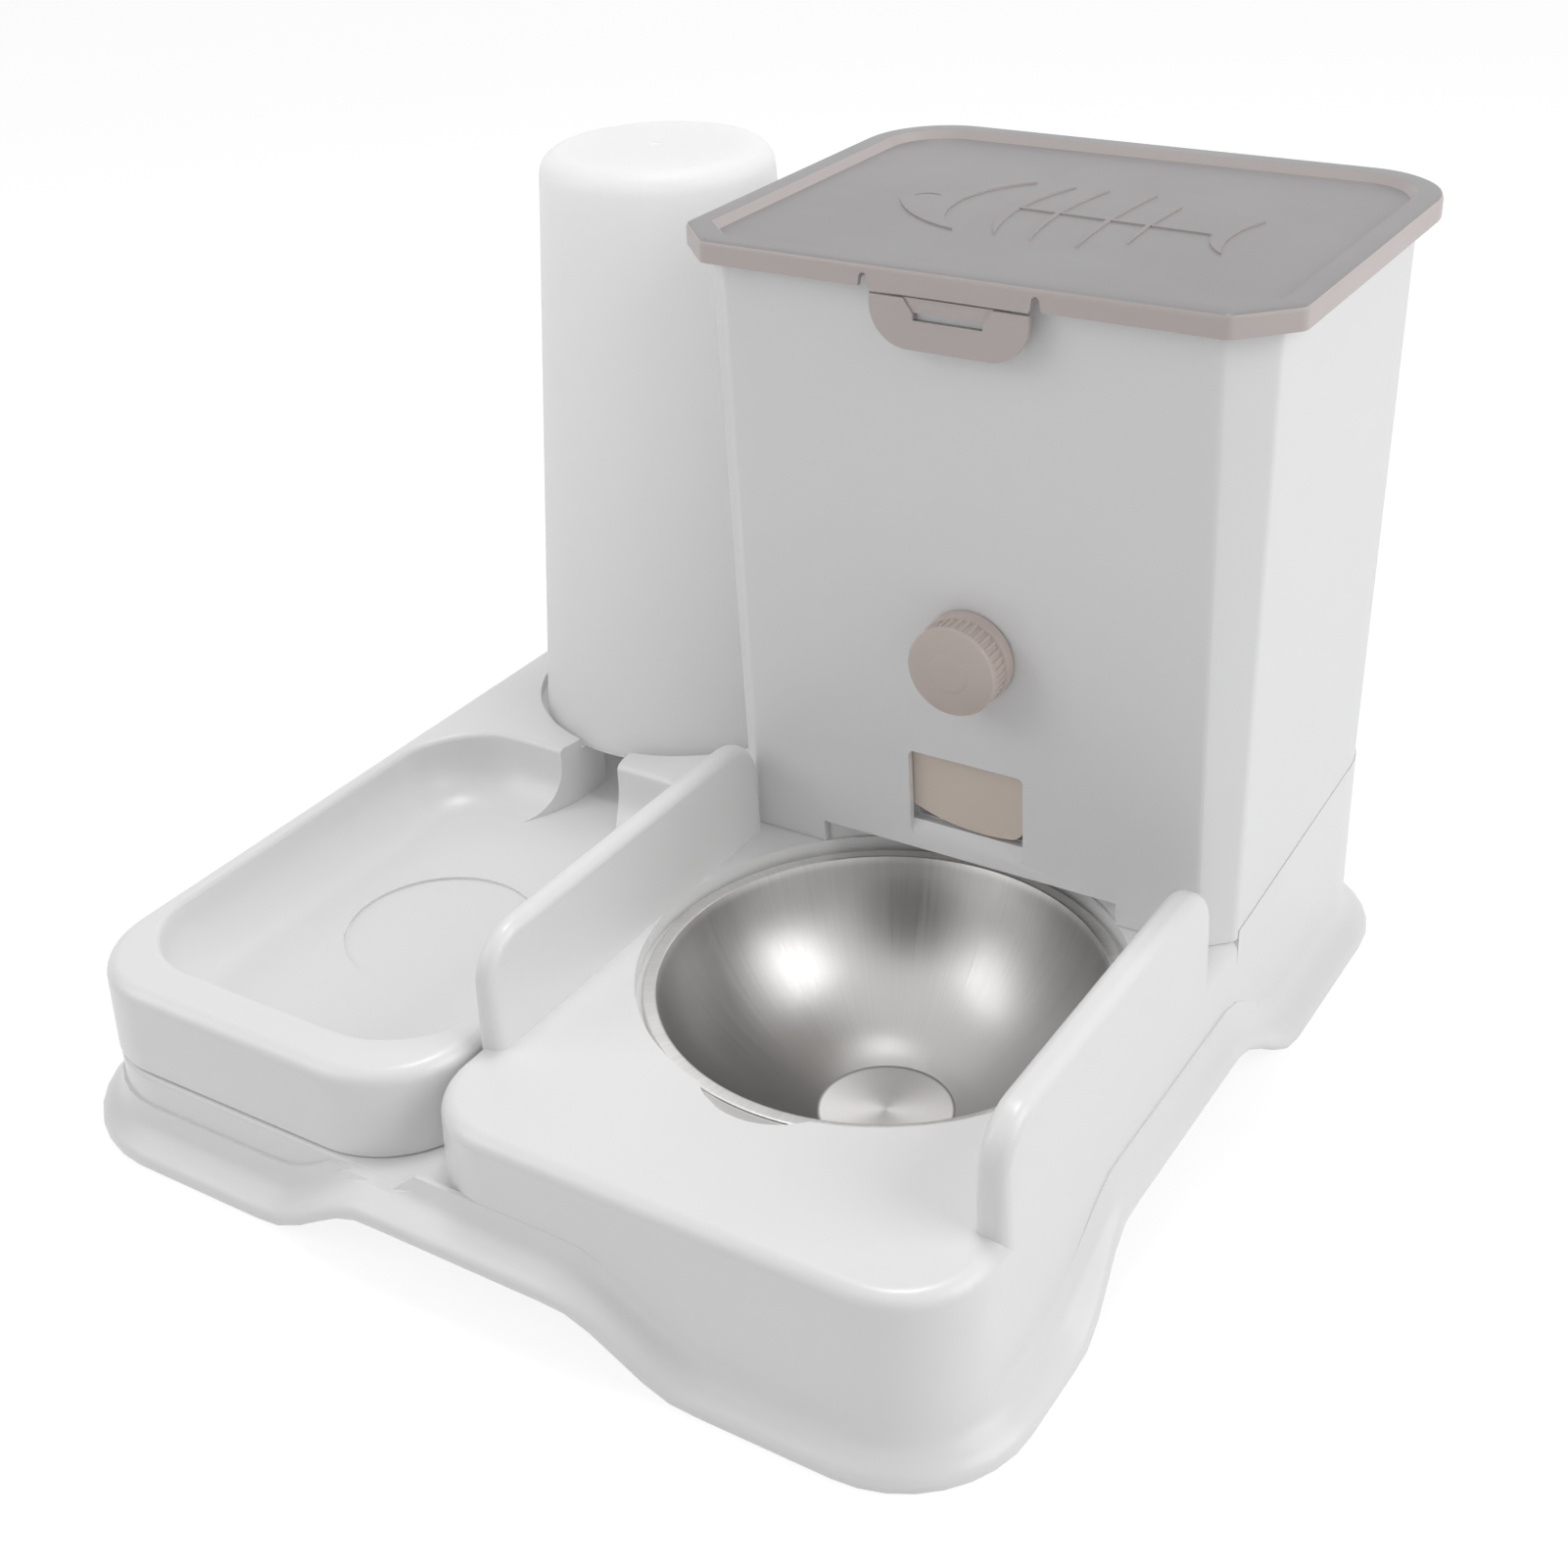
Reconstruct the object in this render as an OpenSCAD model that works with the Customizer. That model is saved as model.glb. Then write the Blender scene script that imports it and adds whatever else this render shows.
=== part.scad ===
// Gravity food and water station for a small pet: one moulded base that carries a steel bowl,
// a lift-off water tray with an inverted bottle, and a food hopper with a knob-driven outlet gate.
// Right is +X, back is +Y, up is +Z; the bowl and hopper are centred on X = 0 and the floor is Z = 0.

/* [Base] */
// left wall of the food platform
platform_x0 = -81; // [-95:0.5:-70]
// right wall of the food platform
platform_x1 = 84.3; // [70:0.1:95]
// front wall of the platform
platform_y0 = -167.4; // [-190:0.1:-140]
// rear wall of the base
base_y1 = 131; // [110:0.5:150]
// height of the platform's top
platform_z = 54.2; // [40:0.1:70]
// corner radius of the platform
platform_r = 26; // [12:1:34]
// rounding of the platform's top edge
edge_r = 5; // [2:0.5:8]
// wall thickness of the moulded base
base_t = 2.6; // [1.8:0.1:4]
// left wall of the water plinth
plinth_x0 = -216.5; // [-240:0.5:-180]
// front wall of the water plinth
plinth_y0 = -167; // [-190:0.1:-140]
// height of the plinth that carries the tray
plinth_z = 26; // [15:0.5:40]
// corner radius of the plinth
plinth_r = 34; // [12:1:40]
// how far the foot flange stands out from the wall
flange_out = 9.2; // [3:0.1:14]
// how far the foot flange stands out on the left
flange_left = 7.2; // [3:0.1:14]
// height of the foot flange
flange_h = 9; // [6:0.5:16]
// height of the arch between the front feet
arch_front = 17; // [0:0.5:22]
// height of the arch between the side feet
arch_side = 18.5; // [0:0.5:24]
// left end of the arch between the front feet
arch_x0 = -132; // [-150:1:-110]
// right end of the arch between the front feet
arch_x1 = 14; // [0:1:40]
// front end of the arch between the side feet
arch_y0 = -112; // [-130:1:-90]
// rear end of the arch between the side feet
arch_y1 = 46; // [20:1:60]
// length of the curved ends of the arches
arch_run = 40; // [20:1:60]

/* [Guards] */
// front end of both side guards
guard_y0 = -134.5; // [-150:0.5:-110]
// rear end of the left side guard
guard_y1 = 3; // [-10:0.5:6]
// how much earlier the right guard ends
guard_step = 9; // [0:0.5:12]
// top of the side guards
guard_z = 89.2; // [70:0.1:100]
// corner radius of the guards seen from the side
guard_r = 16; // [8:0.5:20]

/* [Bowl] */
// distance of the bowl's centre in front of X axis
bowl_y = -47.4; // [-60:0.1:-40]
// inner radius of the bowl at the brim
bowl_r = 66.3; // [55:0.1:74]
// width of the bowl's brim
brim_w = 4.5; // [3:0.1:8]
// radius of the bowl's flat bottom
bottom_r = 20.5; // [10:0.1:30]
// sheet thickness of the bowl
bowl_t = 0.8; // [0.5:0.1:1.5]
// height of the bowl's brim
brim_z = 50.4; // [40:0.1:60]
// depth of the bowl
bowl_depth = 48.6; // [30:0.1:49]

/* [Water tray] */
// left edge of the tray
tray_x0 = -216.6; // [-240:0.5:-180]
// right edge of the tray
tray_x1 = -83.3; // [-100:0.1:-70]
// front edge of the tray
tray_y0 = -164.5; // [-190:0.5:-140]
// corner radius of the tray
tray_r = 31; // [15:1:40]
// wall thickness of the tray
tray_t = 2.4; // [1.6:0.1:4]
// left edge of the drinking basin
basin_x0 = -209.5; // [-215:0.5:-180]
// right edge of the drinking basin
basin_x1 = -91; // [-110:0.5:-86]
// front edge of the drinking basin
basin_y0 = -148; // [-160:0.5:-120]
// rear edge of the drinking basin
basin_y1 = 12; // [-10:0.5:20]
// height of the basin floor
basin_z = 31; // [29:0.5:45]
// radius of the cove round the basin floor
cove_r = 17; // [5:1:22]
// rounding of the basin's upper edge
lip_r = 2; // [1:0.1:4]
// width of the channel between bottle and basin
channel_w = 21; // [12:0.5:26]

/* [Water bottle] */
// place of the bottle's axis, left of the origin
bottle_x = -150.2; // [-160:0.1:-140]
// place of the bottle's axis, behind the origin
bottle_y = 76.3; // [60:0.1:80]
// radius of the bottle at its shoulder
bottle_r0 = 53.2; // [35:0.1:56]
// radius of the bottle at its closed end
bottle_r1 = 38.1; // [30:0.1:50]
// height of the closed end
bottle_z1 = 247.8; // [150:0.5:260]
// wall thickness of the bottle
bottle_t = 1.5; // [0.8:0.1:3]

/* [Hopper] */
// front face at the foot of the hopper
hop_y0 = 4.4; // [0:0.1:12]
// rear face of the hopper
hop_y1 = 130; // [110:0.5:140]
// half width of the flat front face
hop_fx = 75.3; // [60:0.1:84]
// half width of the hopper
hop_sx = 84.1; // [70:0.1:95]
// foot of the hopper's front wall
hop_z0 = 54.4; // [50:0.1:60]
// rounding of the hopper's chamfered front corners
hop_er = 3.5; // [1:0.1:6]
// upper rim of the hopper
hop_z1 = 243.5; // [200:0.5:260]
// wall thickness of the hopper
hop_t = 2.4; // [1.6:0.1:4]
// forward lean of the front wall in degrees
lean = 1.85; // [0:0.01:5]
// rise of the seam between hopper and base, per millimetre of depth
seam_slope = 0.081; // [0:0.001:0.1]
// slope of the hopper floor in degrees
floor_slope = 25; // [15:1:45]

/* [Gate and knob] */
// half width of the outlet window
win_x = 19.2; // [12:0.1:25]
// bottom of the window, measured up the front wall
win_w0 = 16.5; // [10:0.1:20]
// top of the window, measured up the front wall
win_w1 = 42.1; // [30:0.1:55]
// lower edge of the sloping sill, measured up the front wall
sill_w = 12.6; // [10:0.1:16]
// gap between the closed gate and the inner edge of the sill
gate_open = 0.4; // [0.2:0.1:2]
// radius of the gate's curved lower edge
gate_arc = 60; // [40:1:120]
// right edge of the gate where it shows in the window
gate_side = 18.4; // [14:0.1:19]
// sideways place of the knob
knob_x = 2.4; // [-5:0.1:5]
// height of the knob, measured up the front wall
knob_w = 80; // [60:0.5:100]
// radius of the knob
knob_r = 14; // [10:0.1:20]
// length of the knob in front of the wall
knob_l = 13; // [8:0.5:20]
// number of grip ribs on the knob
knob_ribs = 36; // [16:1:48]
// tooth module of rack and pinion
gear_m = 1; // [0.8:0.1:1.5]
// number of pinion teeth
teeth = 16; // [10:1:24]
// stroke of the gate
stroke = 25; // [10:0.5:30]
// running clearance of shaft and bore, radial
run_gap = 0.1; // [0.05:0.01:0.3]

/* [Lid] */
// half width of the lid
lid_x = 92; // [80:0.5:100]
// front edge of the lid
lid_y0 = -7.4; // [-15:0.1:0]
// rear edge of the lid
lid_y1 = 137.5; // [120:0.5:150]
// chamfer of the two front corners
lid_c = 14.6; // [5:0.1:25]
// rounding of the lid's chamfered front corners
lid_er = 4; // [1:0.1:8]
// radius of the two rear corners
lid_r = 27; // [5:0.5:35]
// distance from the lid's edge to the lip that sits in the hopper
lip_in = 9.6; // [8:0.1:14]
// lower edge of the lid's rim
lid_z0 = 241.6; // [230:0.1:250]
// top of the lid's rim
lid_z1 = 248; // [240:0.1:260]
// width of the raised rim
rim_w = 7.2; // [4:0.1:12]
// depth of the sunk panel
sunk = 2.4; // [1:0.1:4]
// height of the fish bone above the panel
fish_h = 0.5; // [0.2:0.1:1.5]
// rear hinge axis, behind the origin
hinge_y = 135.2; // [130:0.1:140]
// rear hinge axis, height
hinge_z = 239; // [230:0.1:245]

/* [Hidden] */
big = 400;
fine = 96;
// bowl and its hole
brim_r = bowl_r + brim_w;
hole_r = brim_r + 1.6;
floor_z = brim_z - bowl_depth;
dome_z = (pow(bowl_r, 2) + pow(brim_z, 2) - pow(bottom_r, 2) - pow(floor_z, 2)) / (2 * bowl_depth);
dome_r = sqrt(pow(bottom_r, 2) + pow(floor_z - dome_z, 2));
notch_y = bowl_y - hole_r + 17;
mouth_x = sqrt(pow(hole_r, 2) - pow(hop_y0 - bowl_y, 2));
// bottle seat
pocket_r = bottle_r0 + 2.3;
cap_z = basin_z + 4;
channel_x0 = bottle_x - channel_w / 2 - 0.2;
channel_x1 = channel_x0 + channel_w;
// where the hopper's walls change from the platform to the sloping seam
seam_y = hop_y0 + hop_sx - hop_fx + 1.6;
// gate, rack and cover, measured up the front wall
pitch_r = gear_m * teeth / 2;
gate_x = win_x + 1.8;
gate_w0 = win_w0 + gate_open;
slot_w0 = knob_w - stroke - pitch_r - 2.2;
slot_w1 = knob_w + pitch_r + 5.4;
gate_w1 = slot_w1 + 6.2;
cover_w0 = knob_w - stroke - pitch_r - 6;
cover_w1 = gate_w1 + stroke + 3.4;
screw_x = gate_x + 10;
screw_w = [cover_w0 + 8, cover_w1 - 6];
// latch flap, hung from the front of the lid's rim
flap_t = 1.5;
flap_y = lid_y0 + 0.75;
flap_z = lid_z0 - 2;

// Carries a profile, drawn as distance out and height, round a rectangle of corner centres.
module carry(x0, x1, y0, y1, fn = fine) {
    translate([x1, y1, 0]) rotate_extrude(angle = 90, $fn = fn) children();
    translate([x0, y1, 0]) rotate([0, 0, 90]) rotate_extrude(angle = 90, $fn = fn) children();
    translate([x0, y0, 0]) rotate([0, 0, 180]) rotate_extrude(angle = 90, $fn = fn) children();
    translate([x1, y0, 0]) rotate([0, 0, 270]) rotate_extrude(angle = 90, $fn = fn) children();
    translate([x1, y1, 0]) rotate([90, 0, 0]) linear_extrude(y1 - y0) children();
    translate([x0, y1, 0]) rotate([90, 0, 90]) linear_extrude(x1 - x0) children();
    translate([x0, y0, 0]) rotate([90, 0, 180]) linear_extrude(y1 - y0) children();
    translate([x1, y0, 0]) rotate([90, 0, 270]) linear_extrude(x1 - x0) children();
}

// A block with rounded corners of radius r, drafted walls and a rounded top edge.
module soft_block(x0, x1, y0, y1, z0, z1, r, er, draft) {
    carry(x0 + r, x1 - r, y0 + r, y1 - r) block_profile(r, z0, z1, er, draft);
    translate([x0 + r, y0 + r, z0]) cube([x1 - x0 - 2 * r, y1 - y0 - 2 * r, z1 - z0]);
}

// Moves the part so that the middle of its foot outline stands on the origin.
module centred() {
    translate([-(ox0 - flange_left + ox1 + flange_out) / 2, -(oy0 + oy1) / 2, 0]) children();
}

module block_profile(r, z0, z1, er, draft) {
    polygon([[0, z0], [r + draft, z0], [r, z1 - er], [0, z1 - er]]);
    translate([0, z0]) square([r - er, z1 - z0]);
    translate([r - er, z1 - er]) circle(r = er, $fn = 48);
}

// Smooth rise from 0 to 1.
function rise(t) = let (u = min(1, max(0, t))) u * u * (3 - 2 * u);
// Height of the lower edge along the front and rear walls, and along the side walls.
function wave_x(x) = arch_front * (rise((x - arch_x0) / arch_run) - rise((x - arch_x1) / arch_run + 1));
function wave_y(y) = arch_side * (rise((y - arch_y0) / arch_run) - rise((y - arch_y1) / arch_run + 1));

// Outline of the base at the foot flange, as places with their outward directions.
ox0 = plinth_x0 - 0.6;
ox1 = platform_x1 + 2;
oy0 = platform_y0 - 1.6;
oy1 = base_y1 + 0.9;
out_r = platform_r + 2;
function corner(cx, cy, r, a0) = [for (i = [0 : 7]) let (a = a0 + i * 90 / 8)
    [cx + r * cos(a), cy + r * sin(a), a]];
function edge_x(a, b, y, dir) = [for (i = [0 : 29]) [a + (b - a) * i / 30, y, dir]];
function edge_y(a, b, x, dir) = [for (i = [0 : 29]) [x, a + (b - a) * i / 30, dir]];
outline = concat(
    edge_x(ox0 + plinth_r, ox1 - out_r, oy0, 270), corner(ox1 - out_r, oy0 + out_r, out_r, 270),
    edge_y(oy0 + out_r, oy1 - out_r, ox1, 0), corner(ox1 - out_r, oy1 - out_r, out_r, 0),
    edge_x(ox1 - out_r, ox0 + plinth_r, oy1, 90), corner(ox0 + plinth_r, oy1 - plinth_r, plinth_r, 90),
    edge_y(oy1 - plinth_r, oy0 + plinth_r, ox0, 180), corner(ox0 + plinth_r, oy0 + plinth_r, plinth_r, 180));

// Section of the foot flange: distance out and height above its lower edge.
section = [[-2.2, 0], [0.84, 0], [0.96, 0.1], [1, 0.26], [0.96, 0.44], [0.84, 0.6], [0.63, 0.74],
    [0.41, 0.87], [0.21, 1.05], [0.06, 1.3], [-0.7, 1.75], [-2.2, 1.75]];

module foot_flange() {
    pts = [for (p = outline) let (
            side = abs(cos(p[2])),
            w = side > 0.5 ? wave_y(p[1]) : wave_x(p[0]),
            full = flange_out + (flange_left - flange_out) * max(0, -cos(p[2])),
            out = full * (1 - 0.5 * side * w / arch_side),
            top = p[0] < platform_x0 - 2 ? plinth_z : big)
        for (s = section) let (d = s[0] < 0 ? s[0] : s[0] * out)
            [p[0] + d * cos(p[2]), p[1] + d * sin(p[2]), min(w + s[1] * flange_h, top)]];
    n = len(outline);
    m = len(section);
    polyhedron(points = pts, faces = [for (i = [0 : n - 1]) for (j = [0 : m - 1]) for (k = [0, 1])
        let (q = (j + 1) % m, r = (i + 1) % n * m, a = i * m + j, b = i * m + q, c = r + q, d = r + j)
        k == 0 ? [a, b, c] : [a, c, d]]);
}

// What is cut from below so that the walls end just inside the flange.
module arch_cut() {
    px = [for (i = [0 : 50]) let (x = arch_x0 - 20 + (arch_x1 - arch_x0 + 40) * i / 50) [x, wave_x(x) + 1.5]];
    py = [for (i = [0 : 50]) let (y = arch_y0 - 20 + (arch_y1 - arch_y0 + 40) * i / 50) [y, wave_y(y) + 1.5]];
    translate([0, big, 0]) rotate([90, 0, 0]) linear_extrude(2 * big)
        polygon(concat([[arch_x0 - 20, -1]], px, [[arch_x1 + 20, -1]]));
    translate([-big, 0, 0]) rotate([90, 0, 90]) linear_extrude(2 * big)
        polygon(concat([[arch_y0 - 20, -1]], py, [[arch_y1 + 20, -1]]));
}

// One side guard, widest at its foot and rounded along its top.
module guard(xa, xb, ra, rb, y1, top) {
    hull() {
        for (x = [xa, xb]) {
            for (y = [guard_y0 + guard_r, y1 - guard_r])
                translate([x, y, top - guard_r]) rotate([0, 90, 0])
                    rotate_extrude($fn = 32) translate([guard_r - ra, 0]) circle(r = ra, $fn = 24);
            for (y = [guard_y0 + rb, y1 - rb])
                translate([x, y, platform_z - 4]) cylinder(r = rb, h = 1, $fn = 32);
        }
    }
}

// Everything above the line where the hopper stands on the base walls.
module above_seam(dz) {
    translate([-big / 2, hop_y0, hop_z0 + 1.8 + dz]) rotate([atan(seam_slope), 0, 0])
        translate([0, -big, 0]) cube([big, 2 * big, big]);
}

module base() centred() color([0.9, 0.91, 0.92]) {
    difference() {
        union() {
            soft_block(platform_x0, platform_x1, platform_y0, base_y1,
                0, platform_z, platform_r, edge_r, 2.2);
            soft_block(plinth_x0, -10, plinth_y0, base_y1, 0, plinth_z, plinth_r, 1.5, 0.8);
            difference() {
                soft_block(platform_x0, platform_x1, -60, base_y1, 0, hop_z0 + 18, 20, 0.5, 0.6);
                translate([-big / 2, -big, -1]) cube([big, big + seam_y + 0.2, big]);
                above_seam(-0.2);
            }
        }
        // hollow underside
        soft_block(platform_x0 + base_t, platform_x1 - base_t, platform_y0 + base_t, base_y1 - base_t,
            -1, platform_z - base_t, platform_r - base_t, edge_r - 2, 2.2);
        soft_block(plinth_x0 + base_t, 45, plinth_y0 + base_t, base_y1 - base_t,
            -1, plinth_z - base_t, plinth_r - base_t, 1, 0.8);
        // open space inside the walls that carry the hopper
        soft_block(platform_x0 + base_t, platform_x1 - base_t, -40, base_y1 - base_t,
            platform_z, hop_z0 + 36, 17.4, 0.5, 0);
        arch_cut();
        // bowl hole with its finger notch
        translate([0, bowl_y, 40]) cylinder(r = hole_r, h = 30, $fn = fine);
        translate([0, notch_y, 40]) cylinder(r = 23, h = 15, $fn = 48);
    }
    // collar and ledge that carry the bowl
    difference() {
        translate([0, bowl_y, brim_z - 3.8])
            cylinder(r = hole_r + 2, h = platform_z - brim_z + 2.3, $fn = fine);
        translate([0, bowl_y, brim_z - 1.6]) cylinder(r = hole_r, h = 30, $fn = fine);
        translate([0, bowl_y, 40]) cylinder(r = brim_r - 2.8, h = 30, $fn = fine);
        translate([0, notch_y, 40]) cylinder(r = 23, h = 30, $fn = 48);
    }
    // upstand behind the bowl that keeps spilled food out of the base
    difference() {
        translate([0, bowl_y, platform_z - 1.2]) cylinder(r = hole_r + 2.8, h = 8.2, $fn = fine);
        translate([0, bowl_y, platform_z - 2]) cylinder(r = hole_r + 0.8, h = 20, $fn = fine);
        translate([-big / 2, hop_y0 + hop_t + 0.4 - big, platform_z - 2]) cube([big, big, 20]);
    }
    // corner plates that hold the rubber feet
    for (p = feet) translate([p[0], p[1], 2.6]) corner_plate(p[2], p[3]);
    guard(platform_x0 + 4, platform_x0 + 4.4, 3.3, 4.5, guard_y1, guard_z);
    guard(platform_x1 - 6.2, platform_x1 - 3.9, 3.3, 4, guard_y1 - guard_step, guard_z - 1);
    foot_flange();
}

// Places of the feet, with the directions of the walls that they are tied to.
feet = [[-194, -144, -1, -1], [68, -146, 1, -1], [68, 114, 1, 1], [-198, 114, -1, 1]];

module corner_plate(sx, sy) {
    difference() {
        union() {
            cylinder(r = 9, h = 2.4, $fn = 48);
            translate([min(0, 16 * sx), -9, 0]) cube([16, 18, 2.4]);
            translate([-9, min(0, 20 * sy), 0]) cube([18, 20, 2.4]);
        }
        translate([0, 0, -1]) cylinder(r = 2.2, h = 5, $fn = 32);
    }
}

module rubber_feet() centred() color([0.62, 0.6, 0.58]) {
    for (p = feet) translate([p[0], p[1], 0]) {
        cylinder(r = 7, h = 2.5, $fn = 48);
        cylinder(r = 2.1, h = 6, $fn = 32);
        translate([0, 0, 5.2]) cylinder(r = 3.1, h = 1.4, $fn = 32);
    }
}

module food_bowl() centred() color([0.62, 0.6, 0.57]) {
    translate([0, bowl_y, 0]) rotate_extrude($fn = fine) {
        difference() {
            intersection() {
                translate([0, dome_z]) circle(r = dome_r + bowl_t, $fn = 128);
                translate([0, floor_z - bowl_t]) square([bowl_r + 3, bowl_depth]);
            }
            intersection() {
                translate([0, dome_z]) circle(r = dome_r, $fn = 128);
                translate([0, floor_z]) square([bowl_r + 3, bowl_depth + 5]);
            }
        }
        translate([bowl_r - 0.1, brim_z - bowl_t]) square([brim_r - bowl_r - 0.8, bowl_t]);
        translate([brim_r - 0.9, brim_z - 0.65]) circle(r = 0.75, $fn = 24);
    }
}

// The drinking basin, grown by e on every side.
module basin(e) {
    r = 30 + e;
    carry(basin_x0 + 30, basin_x1 - 30, basin_y0 + 30, basin_y1 - 30) intersection() {
        union() {
            translate([0, basin_z - e]) square([r - cove_r - e, 40]);
            translate([r - cove_r - e, basin_z + cove_r]) circle(r = cove_r + e, $fn = 64);
            translate([0, basin_z + cove_r]) square([r, 40]);
        }
        translate([0, basin_z - e]) square([r, 60]);
    }
    // rounded upper edge
    if (e == 0) carry(basin_x0 + 30, basin_x1 - 30, basin_y0 + 30, basin_y1 - 30) difference() {
        translate([r - 1, platform_z - lip_r]) square([1 + lip_r, 8]);
        translate([r + lip_r, platform_z - lip_r]) circle(r = lip_r, $fn = 32);
    }
    translate([basin_x0 + 30, basin_y0 + 30, basin_z - e])
        cube([basin_x1 - basin_x0 - 60, basin_y1 - basin_y0 - 60, 40]);
}

// The seat of the inverted bottle and the channel to the basin, grown by e.
module seat(e) {
    translate([bottle_x, bottle_y, 50.2 - e]) cylinder(r = pocket_r + e, h = 20, $fn = fine);
    translate([bottle_x, bottle_y, basin_z - e]) cylinder(r = 43.5 + e, h = 30, $fn = fine);
    // channel, flared where it opens into the basin
    translate([0, 0, basin_z - e]) linear_extrude(30) polygon(concat(
        [for (i = [0 : 8]) [channel_x0 - e - 12 * pow(1 - i / 8, 2), basin_y1 - 20 + 32 * i / 8]],
        [[channel_x0 - e, bottle_y - 26], [channel_x1 + e, bottle_y - 26]],
        [for (i = [8 : -1 : 0]) [channel_x1 + e + 12 * pow(1 - i / 8, 2), basin_y1 - 20 + 32 * i / 8]]));
}

module water_tray() centred() color([0.92, 0.93, 0.94]) {
    difference() {
        union() {
            difference() {
                soft_block(tray_x0, tray_x1, tray_y0, base_y1 + 0.2,
                    plinth_z + 0.45, platform_z, tray_r, edge_r, 1);
                difference() {
                    soft_block(tray_x0 + tray_t, tray_x1 - tray_t, tray_y0 + tray_t, base_y1 + 0.2 - tray_t,
                        plinth_z - 3, platform_z - tray_t, tray_r - tray_t, 2, 1);
                    basin(tray_t);
                    seat(tray_t);
                }
            }
            // rim that steps down inside the seam
            difference() {
                soft_block(tray_x0 + 1.4, tray_x1 - 1.4, tray_y0 + 1.4, base_y1 - 1.2,
                    plinth_z + 0.15, plinth_z + 3, tray_r - 1.4, 0.2, 0);
                soft_block(tray_x0 + 3, tray_x1 - 3, tray_y0 + 3, base_y1 - 2.8,
                    plinth_z - 1, plinth_z + 4, tray_r - 3, 0.2, 0);
            }
        }
        basin(0);
        seat(0);
        // round recess of the basin floor
        translate([bottle_x - 1.9, -69, basin_z - 1]) cylinder(r = 31.1, h = 5, $fn = fine);
    }
    // pin that lifts the bottle's valve
    translate([bottle_x, bottle_y, basin_z - 1]) cylinder(r = 2.6, h = 4.6, $fn = 32);
}

module water_bottle() centred() color([0.9, 0.92, 0.93, 0.7]) {
    translate([bottle_x, bottle_y, 0]) rotate_extrude($fn = fine) difference() {
        bottle_profile(0);
        bottle_profile(bottle_t);
        // three fine grooves at the shoulder and the gate mark on the closed end
        for (z = [51.6, 52.8, 54]) translate([bottle_r0 + 0.1, z]) circle(r = 0.35, $fn = 16);
        translate([0, bottle_z1 - 0.3]) square([1.8, 1]);
    }
}

// Half section of the bottle, shrunk by t; the shoulder and neck are at its lower end.
module bottle_profile(t) {
    zc = bottle_z1 - 7.5;
    polygon([[0, 50.4 + t], [bottle_r0 - t, 50.4 + t], [bottle_r1 - t, zc], [0, zc]]);
    translate([0, zc - 1]) square([bottle_r1 - 7.5, 8.5 - t]);
    translate([bottle_r1 - 7.5, zc]) circle(r = 7.5 - t, $fn = 48);
    polygon([[0, 47.6], [18 - t, 47.6 + t * 0.6], [42 - t, 50.3 + t * 0.9], [42 - t, 54], [0, 54]]);
    translate([0, t > 0 ? 37 : 38.6]) square([17.5 - t, 13]);
    // bead that the cap closes on
    if (t == 0) for (z = [41, 43.6]) translate([0, z]) square([18, 0.9]);
}

module bottle_cap() centred() color([0.9, 0.9, 0.9]) {
    translate([bottle_x, bottle_y, cap_z]) {
        difference() {
            cylinder(r = 21.4, h = 9.6, $fn = 64);
            translate([0, 0, 2]) cylinder(r = 18.3, h = 10, $fn = 64);
            translate([0, 0, -1]) cylinder(r = 2.5 + 1.2, h = 5, $fn = 32);
            for (a = [0 : 20 : 340]) rotate([0, 0, a]) translate([21.6, 0, 1.5])
                cylinder(r = 0.7, h = 10, $fn = 16);
        }
    }
}

module cap_gasket() centred() color([0.75, 0.75, 0.74]) {
    translate([bottle_x, bottle_y, cap_z + 2.1]) difference() {
        cylinder(r = 17.6, h = 1.4, $fn = 64);
        translate([0, 0, -1]) cylinder(r = 14.4, h = 5, $fn = 64);
    }
}

module valve_poppet() centred() color([0.85, 0.85, 0.85]) {
    translate([bottle_x, bottle_y, 0]) {
        translate([0, 0, 35]) cylinder(r = 2.3, h = 7, $fn = 32);
        translate([0, 0, 40.9]) cylinder(r = 7.5, h = 1.6, $fn = 48);
        translate([0, 0, 42]) cylinder(r = 2.3, h = 5.5, $fn = 32);
    }
}

module poppet_seal() centred() color([0.45, 0.45, 0.45]) {
    translate([bottle_x, bottle_y, 39.3]) difference() {
        cylinder(r = 6.5, h = 1.5, $fn = 48);
        translate([0, 0, -1]) cylinder(r = 2.35, h = 4, $fn = 32);
    }
}

// Points on an arc round (cx, cy), from angle a over the sweep n in steps of d degrees; one point if r is 0.
function arc(cx, cy, r, a, d, n) = r == 0 ? [[cx, cy]]
    : [for (b = [a : d : a + n]) [cx + r * cos(b), cy + r * sin(b)]];

// Plan of the hopper at height z, drawn in by t.
function hop_plan(z, t) = let (
        k = (z - hop_z0) / (hop_z1 - hop_z0),
        fx = hop_fx - 1.2 * k - 0.414 * t,
        fy = hop_y0 - (z - hop_z0) * tan(lean) + t,
        sx = hop_sx + 1.4 * k - t,
        sy = hop_y0 + hop_sx - hop_fx - 3.6 * k + 0.414 * t,
        ry = hop_y1 + 0.8 * k - t,
        r = 20 - t,
        q = hop_er - t > 1 ? hop_er - t : 0)
    concat(arc(0.414 * q - fx, fy + q, q, 225, 15, 45), arc(fx - 0.414 * q, fy + q, q, 270, 15, 45),
        arc(sx - q, sy + 0.414 * q, q, 315, 15, 45), arc(sx - r, ry - r, r, 0, 9, 90),
        arc(r - sx, ry - r, r, 90, 9, 90), arc(q - sx, sy + 0.414 * q, q, 180, 15, 45));

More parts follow.
